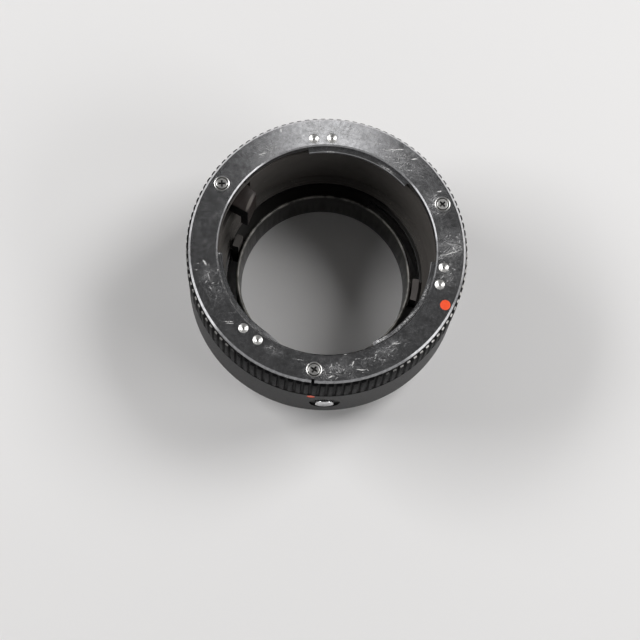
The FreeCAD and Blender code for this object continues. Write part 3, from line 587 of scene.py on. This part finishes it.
baffleFinish = {
    "colour": (0.024, 0.023, 0.0215),
    # the rim's lighter colour is wear and a painted highlight
    "wearAndHighlight": (0.30, 0.29, 0.265),
    "rimDepths": (0.45, 0.15),
    "rub": (0.5, 0.3, 0.65),
    "roughness": (0.34, 0.39),
}


def baffleBlack():
    look = baffleFinish
    material = newMaterial("baffleBlack", look["colour"], look["roughness"][0])
    place = inMillimetres(material)
    rimHeights = [baffleTop - depth for depth in look["rimDepths"]]
    rub = noiseMask(material, place, *look["rub"])
    # the rim is mixed lighter: wear and a painted highlight
    wearAndHighlight = combine(material, "MULTIPLY", ramp(material, heightAt(material, place), *rimHeights), rub)
    feed(material, "Base Color", mixColours(material, wearAndHighlight, look["colour"], look["wearAndHighlight"]))
    feed(material, "Roughness", between(material, rub, *look["roughness"]))
    return material


# Couplings: brown-black fingers with a painted highlight on the inner edge, on paler rings whose two tones
# are a shaded and a lit copy of one paint; faces turned towards -Y are painted shade, dull black

fingerPaint = {"colour": (0.028, 0.021, 0.0185), "dark": (0.021, 0.0165, 0.015)}
# the left and right rings take a shaded and a lit copy of one black paint: painted shade and painted light
shadedLeftRingPaint = {"colour": (0.072, 0.066, 0.062), "dark": (0.056, 0.051, 0.048)}
litRightRingPaint = {"colour": (0.165, 0.150, 0.145), "dark": (0.130, 0.118, 0.114)}
leverFinish = {
    "roughness": (0.40, 0.54),
    "specular": 0.3,
    "cloud": (0.35, 0.3, 0.7),
    "grain": (2.0, 0.3, 0.7),
    "grainSize": (1, 1, 0.2),
    # faces turned towards -Y are painted shade, near black and duller
    "shadedFaces": (0.004, 0.004, 0.004),
    "shadedFacing": (-0.78, -0.68),
    "shadedDull": 0.4,
    # the lighter colour and mark on the finger's inner edge are a painted highlight
    "wearAndHighlight": (0.135, 0.12, 0.108),
    "litEdge": (144.5, 21.3, -14, 5.4, 0.9),
    "litEdgeCore": 0.6,
}


def leverBlack(name, paint):
    look = leverFinish
    material = newMaterial(name, paint["colour"], look["roughness"][0], 0.0, look["specular"])
    place = inMillimetres(material)
    cloud = noiseMask(material, place, *look["cloud"])
    tone = mixColours(material, cloud, paint["colour"], paint["dark"])
    # painted highlight along the finger's inner edge
    wearAndHighlight = markMask(material, place, look["litEdge"], fingerTop, look["litEdgeCore"])
    tone = mixColours(material, wearAndHighlight, tone, look["wearAndHighlight"])
    # painted shade on faces turned towards -Y
    shadedFaces = ramp(material, facing(material)[1], *look["shadedFacing"], 1.0, 0.0)
    feed(material, "Base Color", mixColours(material, shadedFaces, tone, look["shadedFaces"]))
    grain = noiseMask(material, streaked(material, place, 0, look["grainSize"]), *look["grain"])
    feed(material, "Roughness", combine(material, "ADD", between(material, grain, *look["roughness"]),
                                        between(material, shadedFaces, 0.0, look["shadedDull"])))
    return material


finishes = {
    "mount": brightMount(),
    "rearMount": plainMount(),
    "flangeScrew": fastenerSteel("flangeScrewSteel", lensSeat, -1),
    "rearScrew": fastenerSteel("rearScrewSteel", cameraSeat, 1),
    "rivet": rivetSteel(),
    "red": indexRed(),
    "spring": grainedMetal("springSteel", springFinish),
    "grip": blackGrip(),
    "shell": blackShell(),
    "sleeve": sleeveBlack(),
    "baffle": baffleBlack(),
    "finger": leverBlack("fingerBlack", fingerPaint),
    "leftRing": leverBlack("leftRingBlack", shadedLeftRingPaint),
    "rightRing": leverBlack("rightRingBlack", litRightRingPaint),
    "button": grainedMetal("buttonBright", buttonFinish),
    "pin": grainedMetal("pinSteel", pinFinish),
}
nodeFinish = {
    "lens_flange": "mount", "rear_bayonet": "rearMount",
    "flange_screws": "flangeScrew", "rear_mount_screws": "rearScrew",
    "spring_rivets": "rivet", "index_dot": "red", "rear_index_dot": "red",
    "leaf_spring_top": "spring", "leaf_spring_left": "spring", "leaf_spring_right": "spring",
    "front_housing": "grip", "rear_housing": "shell",
    "inner_sleeve": "sleeve", "sleeve_lock_ring": "sleeve", "rear_baffle": "baffle",
    "diaphragm_ring": "leftRing", "diaphragm_finger": "finger",
    "aperture_ring": "rightRing", "aperture_finger": "finger",
    "release_button": "button", "lock_pin": "pin", "lock_spring": "spring",
}
for nodeName, finishName in nodeFinish.items():
    slots = cadNodes[nodeName].data.materials
    slots.clear()
    slots.append(finishes[finishName])
print("materials:", len(finishes))


# Modelling helpers

weldGap = 0.002 * mm


def chooseOnly(piece):
    bpy.ops.object.select_all(action="DESELECT")
    piece.select_set(True)
    bpy.context.view_layer.objects.active = piece


def turnedPiece(name, outline, steps):
    # a chain of points (radius, height) from the axis and back to it, spun about Z
    bpy.ops.object.select_all(action="DESELECT")
    bpy.ops.mesh.primitive_plane_add(size=mm)
    piece = bpy.context.object
    piece.name = name
    bpy.ops.object.mode_set(mode="EDIT")
    bpy.ops.mesh.select_mode(type="VERT")
    bpy.ops.mesh.select_all(action="SELECT")
    bpy.ops.mesh.merge(type="CENTER")
    radius, height = outline[0]
    bpy.ops.transform.translate(value=(radius * mm, 0, height * mm))
    for nextRadius, nextHeight in outline[1:]:
        step = ((nextRadius - radius) * mm, 0, (nextHeight - height) * mm)
        bpy.ops.mesh.extrude_vertices_move(TRANSFORM_OT_translate={"value": step})
        radius, height = nextRadius, nextHeight
    bpy.ops.mesh.select_all(action="SELECT")
    bpy.ops.mesh.spin(steps=steps, angle=math.tau, center=(0, 0, 0), axis=(0, 0, 1))
    bpy.ops.mesh.select_all(action="SELECT")
    bpy.ops.mesh.remove_doubles(threshold=weldGap)
    bpy.ops.mesh.select_all(action="SELECT")
    bpy.ops.mesh.normals_make_consistent(inside=False)
    bpy.ops.object.mode_set(mode="OBJECT")
    return piece


def cutWith(piece, cutter):
    chooseOnly(piece)
    cut = piece.modifiers.new("cut", "BOOLEAN")
    cut.operation = "DIFFERENCE"
    cut.solver = "EXACT"
    cut.object = cutter
    bpy.ops.object.modifier_apply(modifier=cut.name)


def copyTo(piece, place, turn):
    chooseOnly(piece)
    bpy.ops.object.duplicate(linked=False)
    copy = bpy.context.object
    copy.location = place
    copy.rotation_euler = turn
    bpy.ops.object.transform_apply(location=True, rotation=True, scale=True)
    return copy


def joinAll(name, members):
    bpy.ops.object.select_all(action="DESELECT")
    for member in members:
        member.select_set(True)
    bpy.context.view_layer.objects.active = members[0]
    bpy.ops.object.join()
    joined = bpy.context.object
    joined.name = name
    return joined


def atAngle(circle, angle, height):
    turn = math.radians(angle)
    return Vector((circle * math.cos(turn), circle * math.sin(turn), height)) * mm


def finishPiece(piece, finishName, nodeName, body="housing", smoothAngle=40):
    chooseOnly(piece)
    bpy.ops.object.shade_smooth_by_angle(angle=math.radians(smoothAngle))
    piece.data.materials.clear()
    piece.data.materials.append(finishes[finishName])
    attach(piece, body)
    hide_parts(nodeName)
    print("piece:", piece.name, len(piece.data.polygons), "faces")


# Cross-recess screws: a bright ring round a grooved head, with a tapered cross

flangeScrewLook = {
    "head": 1.75, "length": 4.2, "circle": 28.0, "angles": (22.6, 147.6, 264.0), "turns": (20, 35, 62),
}
rearScrewLook = {
    "head": 1.5, "length": 5.0, "circle": 28.0, "angles": (40, 130, 220, 310), "turns": (10, 75, 130, 25),
}
screwLook = {
    "shank": 0.85,
    "ringWidth": 0.26,
    "ringRise": 0.12,
    "ringSteps": (0, 0.1, 0.25, 0.5, 0.75, 0.9, 1),
    "grooveWidth": 0.16,
    "grooveDepth": 0.22,
    "edge": 0.06,
    "crossHalfLength": 1.0,
    "crossHalfWidth": 0.27,
    "crossDepth": 0.7,
    "crossTaper": 0.6,
    "steps": 48,
    "smooth": 24,
}


def crossArm(look):
    bpy.ops.object.select_all(action="DESELECT")
    bpy.ops.mesh.primitive_cube_add(size=2 * mm)
    arm = bpy.context.object
    bpy.ops.object.mode_set(mode="EDIT")
    size = (look["crossHalfLength"], look["crossHalfWidth"], look["crossDepth"])
    bpy.ops.transform.resize(value=size)
    bpy.ops.mesh.select_mode(type="FACE")
    bpy.ops.mesh.select_all(action="DESELECT")
    bpy.ops.object.mode_set(mode="OBJECT")
    for face in arm.data.polygons:
        face.select = face.normal.z < -0.5
    bpy.ops.object.mode_set(mode="EDIT")
    bpy.ops.transform.resize(value=(look["crossTaper"], look["crossTaper"], 1))
    bpy.ops.object.mode_set(mode="OBJECT")
    return arm


def crossScrew(name, sizes):
    look = screwLook
    head, edge, width, rise = sizes["head"], look["edge"], look["ringWidth"], look["ringRise"]
    ring = head - width
    floor = ring - edge - look["grooveWidth"]
    shank, end = look["shank"], -sizes["length"]
    outline = [(0, end), (shank, end), (shank, shank - head)]
    for part in look["ringSteps"]:
        outline.append((head - width * part, -rise * (2 * part - 1) ** 2))
    outline += [(ring - edge, -look["grooveDepth"]), (floor, -look["grooveDepth"]), (floor - edge, -edge / 2),
                (floor - 2 * edge, 0), (0, 0)]
    screw = turnedPiece(name, outline, look["steps"])
    for turn in (0, math.pi / 2):
        arm = crossArm(look)
        arm.rotation_euler = (0, 0, turn)
        cutWith(screw, arm)
        bpy.data.objects.remove(arm)
    chooseOnly(screw)
    bpy.ops.object.mode_set(mode="EDIT")
    bpy.ops.mesh.select_all(action="SELECT")
    bpy.ops.mesh.remove_doubles(threshold=weldGap / 2)
    bpy.ops.mesh.quads_convert_to_tris()
    bpy.ops.object.mode_set(mode="OBJECT")
    return screw


def buildScrews():
    for name, sizes, height, flip, finishName, nodeName in (
        ("flangeScrews", flangeScrewLook, lensSeat, 0, "flangeScrew", "flange_screws"),
        ("rearScrews", rearScrewLook, cameraSeat, math.pi, "rearScrew", "rear_mount_screws"),
    ):
        screw = crossScrew(name, sizes)
        copies = []
        for angle, turn in zip(sizes["angles"], sizes["turns"]):
            place = atAngle(sizes["circle"], angle, height)
            copies.append(copyTo(screw, place, (flip, 0, math.radians(angle + turn))))
        bpy.data.objects.remove(screw)
        joined = joinAll(name, copies)
        finishPiece(joined, finishName, nodeName, smoothAngle=screwLook["smooth"])


# Spring rivets: a smooth dish with a small pit in its middle

rivetLook = {
    "head": 1.15,
    "tail": 0.6,
    "thickness": 2.2,
    "tailReach": 0.6,
    "edge": 0.06,
    "dish": 0.44,
    "pit": 0.24,
    "pitDepth": 0.12,
    "pitTaper": 0.7,
    "dishSteps": 8,
    "circle": 26.2,
    "angles": (87.6, 96.6, 225.2, 234.2, 342.0, 351.0),
    "steps": 40,
}


def buildRivets():
    look = rivetLook
    head, tail, edge = look["head"], look["tail"], look["edge"]
    back = -look["thickness"]
    deep = back - look["tailReach"]
    outline = [(0, deep), (tail, deep), (tail, back), (head, back), (head, -edge), (head - edge, 0)]
    rim = head - 2 * edge
    for step in range(look["dishSteps"] + 1):
        radius = rim + (look["pit"] - rim) * step / look["dishSteps"]
        outline.append((radius, -look["dish"] * (1 - (radius / rim) ** 2)))
    outline.append((look["pit"] * look["pitTaper"], -look["dish"] - look["pitDepth"]))
    outline.append((0, -look["dish"] - look["pitDepth"]))
    rivet = turnedPiece("rivet", outline, look["steps"])
    copies = [copyTo(rivet, atAngle(look["circle"], angle, lensSeat), (0, 0, 0)) for angle in look["angles"]]
    bpy.data.objects.remove(rivet)
    finishPiece(joinAll("springRivets", copies), "rivet", "spring_rivets")


# Index dot: paint that fills its recess with a slightly hollow face

dotLook = {
    "radius": 1.15,
    "depth": 0.4,
    "hollow": 0.03,
    "face": ((1, 1), (0.94, 0.5), (0.8, 1), (0.5, 1.5), (0, 1.7)),  # shares of the radius and the hollow
    "angle": 333.8,
    "circle": 29.05,
    "steps": 40,
}


def buildDot():
    look = dotLook
    outline = [(0, -look["depth"]), (look["radius"], -look["depth"])]
    for across, deep in look["face"]:
        outline.append((across * look["radius"], -deep * look["hollow"]))
    dot = turnedPiece("dot", outline, look["steps"])
    copy = copyTo(dot, atAngle(look["circle"], look["angle"], lensSeat), (0, 0, 0))
    bpy.data.objects.remove(dot)
    copy.name = "indexDot"
    finishPiece(copy, "red", "index_dot")


# Pieces that keep their outline but get rounded edges

edgeRounding = {"segments": 2, "sharperThan": 32, "flatWithin": 0.5}
roundedLook = {
    "front_housing": {
        "name": "gripHousing", "edge": 0.12, "smooth": 40,
        "finish": "grip", "slot": "black_grip", "body": "housing",
    },
    "rear_baffle": {
        "name": "rearBaffle", "edge": 0.04, "smooth": 60,
        "finish": "baffle", "slot": "baffle_black", "body": "housing",
    },
    "diaphragm_finger": {
        "name": "diaphragmFinger", "edge": 0.22, "smooth": 40,
        "finish": "finger", "slot": "lever_black", "body": "diaphragm_coupling",
    },
    "aperture_finger": {
        "name": "apertureFinger", "edge": 0.22, "smooth": 40,
        "finish": "finger", "slot": "lever_black", "body": "aperture_coupling",
    },
    "release_button": {
        "name": "releaseButton", "edge": 0.18, "smooth": 40,
        "finish": "button", "slot": "button_bright", "body": "button",
    },
}


def mergedCopy(nodeName, name):
    bpy.ops.object.select_all(action="DESELECT")
    piece = bpy.data.objects.new(name, cadNodes[nodeName].data.copy())
    scene.collection.objects.link(piece)
    chooseOnly(piece)
    bpy.ops.object.mode_set(mode="EDIT")
    bpy.ops.mesh.select_all(action="SELECT")
    bpy.ops.mesh.remove_doubles(threshold=weldGap)
    bpy.ops.object.mode_set(mode="OBJECT")
    return piece


def roundedCopy(nodeName, look):
    piece = mergedCopy(nodeName, look["name"])
    bpy.ops.object.mode_set(mode="EDIT")
    bpy.ops.mesh.select_all(action="SELECT")
    bpy.ops.mesh.dissolve_limited(angle_limit=math.radians(edgeRounding["flatWithin"]))
    bpy.ops.object.mode_set(mode="OBJECT")
    bevel = piece.modifiers.new("edges", "BEVEL")
    bevel.width = look["edge"] * mm
    bevel.segments = edgeRounding["segments"]
    bevel.limit_method = "ANGLE"
    bevel.angle_limit = math.radians(edgeRounding["sharperThan"])
    bpy.ops.object.modifier_apply(modifier=bevel.name)
    return piece


# Lock spring: a merged copy of the coil, shaded smooth

springLook = {"name": "lockSpring", "lift": 1.2, "smooth": 50}


def buildLockSpring():
    look = springLook
    spring = mergedCopy("lock_spring", look["name"])
    finishPiece(spring, "spring", "lock_spring", smoothAngle=look["smooth"])
    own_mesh(spring)


buildScrews()
buildRivets()
buildDot()
for nodeName, look in roundedLook.items():
    piece = roundedCopy(nodeName, look)
    finishPiece(piece, look["finish"], nodeName, look["body"], look["smooth"])
buildLockSpring()
print("pieces ready")


# Floor, light and camera

floorLook = {"size": 4.0, "colour": (0.80, 0.79, 0.785), "roughness": 0.7}


def buildFloor():
    bpy.ops.object.select_all(action="DESELECT")
    bpy.ops.mesh.primitive_plane_add(size=floorLook["size"])
    floor = bpy.context.object
    floor.name = "floor"
    material = newMaterial("paleFloor", floorLook["colour"], floorLook["roughness"])
    floor.data.materials.append(material)


softLights = {
    # degrees about the axis and down from overhead, distance and size in metres, power in watts
    "keyBox": {"around": 26, "down": 46, "distance": 0.75, "size": (0.34, 0.34), "power": 3.2},
    "leftBox": {"around": 162, "down": 55, "distance": 0.75, "size": (0.46, 0.20), "power": 3.5},
    "rightBox": {"around": 338, "down": 62, "distance": 0.75, "size": (0.36, 0.26), "power": 1.4},
    "leftPanel": {"around": 186, "down": 80, "distance": 0.75, "size": (0.50, 0.22), "power": 0.28},
    "rightPanel": {"around": 336, "down": 80, "distance": 0.75, "size": (0.45, 0.22), "power": 0.24},
    "backStrip": {"around": 84, "down": 24.5, "distance": 0.90, "size": (0.055, 0.14), "power": 0.03},
}


def buildLights():
    aim = Vector((0, 0, lensSeat * mm))
    for name, look in softLights.items():
        around, down = math.radians(look["around"]), math.radians(look["down"])
        away = Vector((math.sin(down) * math.cos(around), math.sin(down) * math.sin(around), math.cos(down)))
        data = bpy.data.lights.new(name, "AREA")
        data.shape = "RECTANGLE"
        data.size, data.size_y = look["size"]
        data.energy = look["power"]
        lamp = bpy.data.objects.new(name, data)
        lamp.location = aim + away * look["distance"]
        lamp.rotation_euler = away.to_track_quat("Z", "Y").to_euler()
        scene.collection.objects.link(lamp)


# grey at the horizon and overhead, and the rise where each is reached
worldLook = {"horizon": 0.42, "overhead": 0.06, "lowest": 0.05, "highest": 0.85}


def buildWorld():
    world = bpy.data.worlds.new("studio")
    world.use_nodes = True
    scene.world = world
    nodes, links = world.node_tree.nodes, world.node_tree.links
    coords = nodes.new("ShaderNodeTexCoord")
    parts = nodes.new("ShaderNodeSeparateXYZ")
    level = nodes.new("ShaderNodeMapRange")
    level.inputs["From Min"].default_value = worldLook["lowest"]
    level.inputs["From Max"].default_value = worldLook["highest"]
    level.inputs["To Min"].default_value = worldLook["horizon"]
    level.inputs["To Max"].default_value = worldLook["overhead"]
    links.new(coords.outputs["Generated"], parts.inputs[0])
    links.new(parts.outputs[2], level.inputs["Value"])
    links.new(level.outputs["Result"], nodes["Background"].inputs["Color"])


cameraLook = {
    "place": (-17.84 * mm, -137.91 * mm, 453.0 * mm),
    "turn": (16.01, -2.195, 0),
    "lens": 112.5,
    "sensor": 36,
    "nearest": 10 * mm,
}


def buildCamera():
    data = bpy.data.cameras.new("photoCamera")
    data.lens = cameraLook["lens"]
    data.sensor_width = cameraLook["sensor"]
    data.clip_start = cameraLook["nearest"]
    camera = bpy.data.objects.new("photoCamera", data)
    camera.location = cameraLook["place"]
    camera.rotation_euler = [math.radians(part) for part in cameraLook["turn"]]
    scene.collection.objects.link(camera)
    scene.camera = camera


buildFloor()
buildLights()
buildWorld()
buildCamera()
scene.view_settings.view_transform = "Standard"
print("stage, lights and camera ready")
